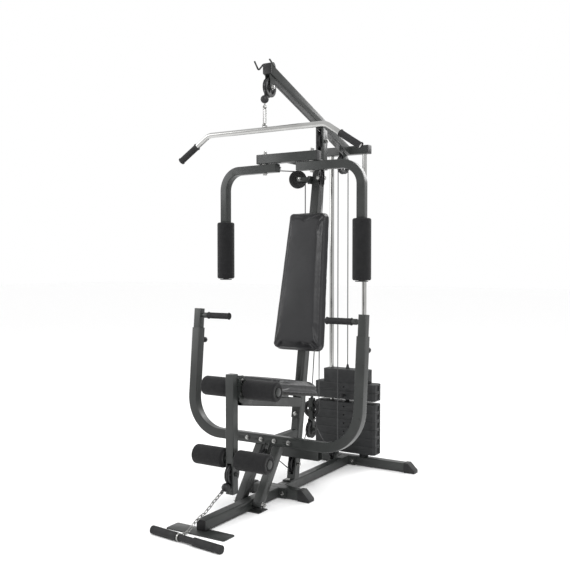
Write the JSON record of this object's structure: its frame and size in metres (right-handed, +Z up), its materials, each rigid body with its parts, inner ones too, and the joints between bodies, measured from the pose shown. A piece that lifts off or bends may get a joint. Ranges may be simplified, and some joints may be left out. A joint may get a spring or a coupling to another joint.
{
  "type": "multi station home gym",
  "caption": "Free-standing home gym with lat pulldown, chest press, butterfly, leg extension and low curl stations on one weight stack.",
  "frame": {"origin": "centre of the footprint box on the floor", "axes": "+Z up, the seated user faces -Y, +X to the right of someone who stands at the front"},
  "size_m": [0.9882, 1.5164, 2.011],
  "materials": {
    "frame_coat": "satin",
    "dark_steel": "satin",
    "chrome_steel": "polished",
    "zinc_steel": "satin",
    "cable_jacket": "satin",
    "pulley_nylon": "satin",
    "roller_foam": "matt",
    "grip_rubber": "matt",
    "pad_vinyl": "satin",
    "plate_grey": "matt",
    "cap_plastic": "matt",
    "buffer_rubber": "matt",
    "board_wood": "matt"
  },
  "bodies": {
    "frame": {"back_pad": "pad_vinyl", "boom": "frame_coat", "cable_fixed": "cable_jacket", "cable_low_front": "cable_jacket", "cross_feet": "frame_coat", "fly_brackets": "frame_coat", "frame_bolts": "zinc_steel", "front_base_beam": "frame_coat", "guide_rods": "chrome_steel", "knee_axle": "dark_steel", "knee_foams": "roller_foam", "main_upright": "frame_coat", "pad_boards": "board_wood", "rear_base_beam": "frame_coat", "rubber_stops": "buffer_rubber", "seat_beam": "frame_coat", "seat_pad": "pad_vinyl", "stack_plates": "plate_grey", "top_beam": "frame_coat", "tube_caps": "cap_plastic"},
    "weight_stack": {"stack_head": "plate_grey", "lifted_plates": "plate_grey", "cable_stack": "cable_jacket"},
    "selector": {"selector_pin": "cap_plastic"},
    "lat": {"lat_bar": "chrome_steel", "lat_grips": "grip_rubber", "lat_link": "zinc_steel", "cable_lat_front": "cable_jacket"},
    "float_block": {"float_block": "dark_steel", "cable_block_high": "cable_jacket", "cable_block_low": "cable_jacket"},
    "press_arm": {"press_yoke": "frame_coat", "press_bolts": "zinc_steel"},
    "press_slide_left": {"press_slide_left": "frame_coat", "press_grip_left": "grip_rubber"},
    "press_slide_right": {"press_slide_right": "frame_coat", "press_grip_right": "grip_rubber"},
    "press_knob_left": {"press_knob_left": "cap_plastic"},
    "press_knob_right": {"press_knob_right": "cap_plastic"},
    "leg_developer": {"leg_lever": "frame_coat", "shin_axle": "dark_steel", "shin_foams": "roller_foam"},
    "low_curl": {"leg_ball": "cap_plastic", "curl_chain": "zinc_steel", "curl_bar": "grip_rubber"},
    "fly_arm_left": {"fly_arm_left": "frame_coat", "fly_foam_left": "roller_foam"},
    "fly_arm_right": {"fly_arm_right": "frame_coat", "fly_foam_right": "roller_foam"},
    "tip_pulley": {"tip_pulley": "pulley_nylon"},
    "riser_pulley": {"riser_pulley": "pulley_nylon"},
    "rear_pulley": {"rear_pulley": "pulley_nylon"},
    "upright_pulley": {"upright_pulley": "pulley_nylon"},
    "base_pulley": {"base_pulley": "pulley_nylon"},
    "fly_pulley_left": {"fly_pulley_left": "pulley_nylon"},
    "fly_pulley_right": {"fly_pulley_right": "pulley_nylon"},
    "press_pulley": {"press_pulley": "pulley_nylon"},
    "leg_pulley": {"leg_pulley": "pulley_nylon"},
    "float_upper_pulley": {"float_upper_pulley": "pulley_nylon"},
    "float_lower_pulley": {"float_lower_pulley": "pulley_nylon"}
  },
  "joints": [
    {"name": "stack_lift", "type": "slide", "parent": "frame", "child": "weight_stack", "axis": [0, 0, 1], "range_m": [0, 0.76], "deforming": ["cable_stack"]},
    {"name": "selector_pull", "type": "slide", "parent": "weight_stack", "child": "selector", "axis": [0, -1, 0], "range_m": [0, 0.09]},
    {"name": "lat_pull", "type": "slide", "parent": "frame", "child": "lat", "axis": [0, 0, -1], "range_m": [0, 0.38], "deforming": ["cable_lat_front"]},
    {"name": "block_lift", "type": "slide", "parent": "frame", "child": "float_block", "axis": [0, 0.1086, 0.9941], "range_m": [0, 0.38], "deforming": ["cable_block_high", "cable_block_low"]},
    {"name": "press_swing", "type": "hinge", "parent": "frame", "child": "press_arm", "pos_m": [0, -0.23676, 0.03], "axis": [1, 0, 0], "range_deg": [0, 35], "deforming": ["cable_low_front"]},
    {"name": "press_height_left", "type": "slide", "parent": "press_arm", "child": "press_slide_left", "axis": [0, 0.0906, 0.9959], "range_m": [-0.04, 0.08]},
    {"name": "press_height_right", "type": "slide", "parent": "press_arm", "child": "press_slide_right", "axis": [0, 0.0906, 0.9959], "range_m": [-0.04, 0.08]},
    {"name": "press_clamp_left", "type": "hinge", "parent": "press_arm", "child": "press_knob_left", "pos_m": [-0.4525, 0.01247, 0.71384], "axis": [0, 0.9959, -0.0906], "range_deg": [0, 360]},
    {"name": "press_clamp_right", "type": "hinge", "parent": "press_arm", "child": "press_knob_right", "pos_m": [0.4525, 0.01247, 0.71384], "axis": [0, 0.9959, -0.0906], "range_deg": [0, 360]},
    {"name": "leg_extension", "type": "hinge", "parent": "frame", "child": "leg_developer", "pos_m": [0, -0.33376, 0.59], "axis": [-1, 0, 0], "range_deg": [0, 75], "deforming": ["cable_low_front"]},
    {"name": "curl_hang", "type": "hinge", "parent": "leg_developer", "child": "low_curl", "pos_m": [0, -0.41376, 0.141], "axis": [1, 0, 0], "range_deg": [0, 75]},
    {"name": "fly_left", "type": "hinge", "parent": "frame", "child": "fly_arm_left", "pos_m": [-0.131, 0.09274, 1.551], "axis": [0, 0, 1], "range_deg": [0, 90]},
    {"name": "fly_right", "type": "hinge", "parent": "frame", "child": "fly_arm_right", "pos_m": [0.131, 0.09274, 1.551], "axis": [0, 0, -1], "range_deg": [0, 90]},
    {"name": "tip_pulley_spin", "type": "hinge", "parent": "frame", "child": "tip_pulley", "pos_m": [0, -0.06976, 1.897], "axis": [1, 0, 0], "continuous": true},
    {"name": "riser_pulley_spin", "type": "hinge", "parent": "frame", "child": "riser_pulley", "pos_m": [0, 0.42224, 1.716], "axis": [1, 0, 0], "continuous": true},
    {"name": "rear_pulley_spin", "type": "hinge", "parent": "frame", "child": "rear_pulley", "pos_m": [-0.006, 0.66724, 1.625], "axis": [0.9916, -0.1293, 0], "continuous": true},
    {"name": "upright_pulley_spin", "type": "hinge", "parent": "frame", "child": "upright_pulley", "pos_m": [0, 0.14824, 0.122], "axis": [1, 0, 0], "continuous": true},
    {"name": "base_pulley_spin", "type": "hinge", "parent": "frame", "child": "base_pulley", "pos_m": [-0.012, 0.58124, 0.102], "axis": [1, 0, 0], "continuous": true},
    {"name": "fly_pulley_left_spin", "type": "hinge", "parent": "frame", "child": "fly_pulley_left", "pos_m": [-0.06768, 0.29674, 1.515], "axis": [0.7902, -0.6129, 0], "continuous": true},
    {"name": "fly_pulley_right_spin", "type": "hinge", "parent": "frame", "child": "fly_pulley_right", "pos_m": [0.06768, 0.29674, 1.515], "axis": [-0.7902, -0.6129, 0], "continuous": true},
    {"name": "press_pulley_spin", "type": "hinge", "parent": "press_arm", "child": "press_pulley", "pos_m": [0, -0.10676, 0.215], "axis": [1, 0, 0], "continuous": true},
    {"name": "leg_pulley_spin", "type": "hinge", "parent": "leg_developer", "child": "leg_pulley", "pos_m": [0, -0.36876, 0.19], "axis": [1, 0, 0], "continuous": true},
    {"name": "float_upper_pulley_spin", "type": "hinge", "parent": "float_block", "child": "float_upper_pulley", "pos_m": [0, 0.32224, 0.362], "axis": [0, 1, 0], "continuous": true},
    {"name": "float_lower_pulley_spin", "type": "hinge", "parent": "float_block", "child": "float_lower_pulley", "pos_m": [0, 0.31624, 0.26], "axis": [1, 0, 0], "continuous": true}
  ],
  "couplings": [
    {"joint": "lat_pull", "follows": "stack_lift", "ratio": 0.5},
    {"joint": "block_lift", "follows": "stack_lift", "ratio": 0.5},
    {"joint": "curl_hang", "follows": "leg_extension", "ratio": 1}
  ]
}
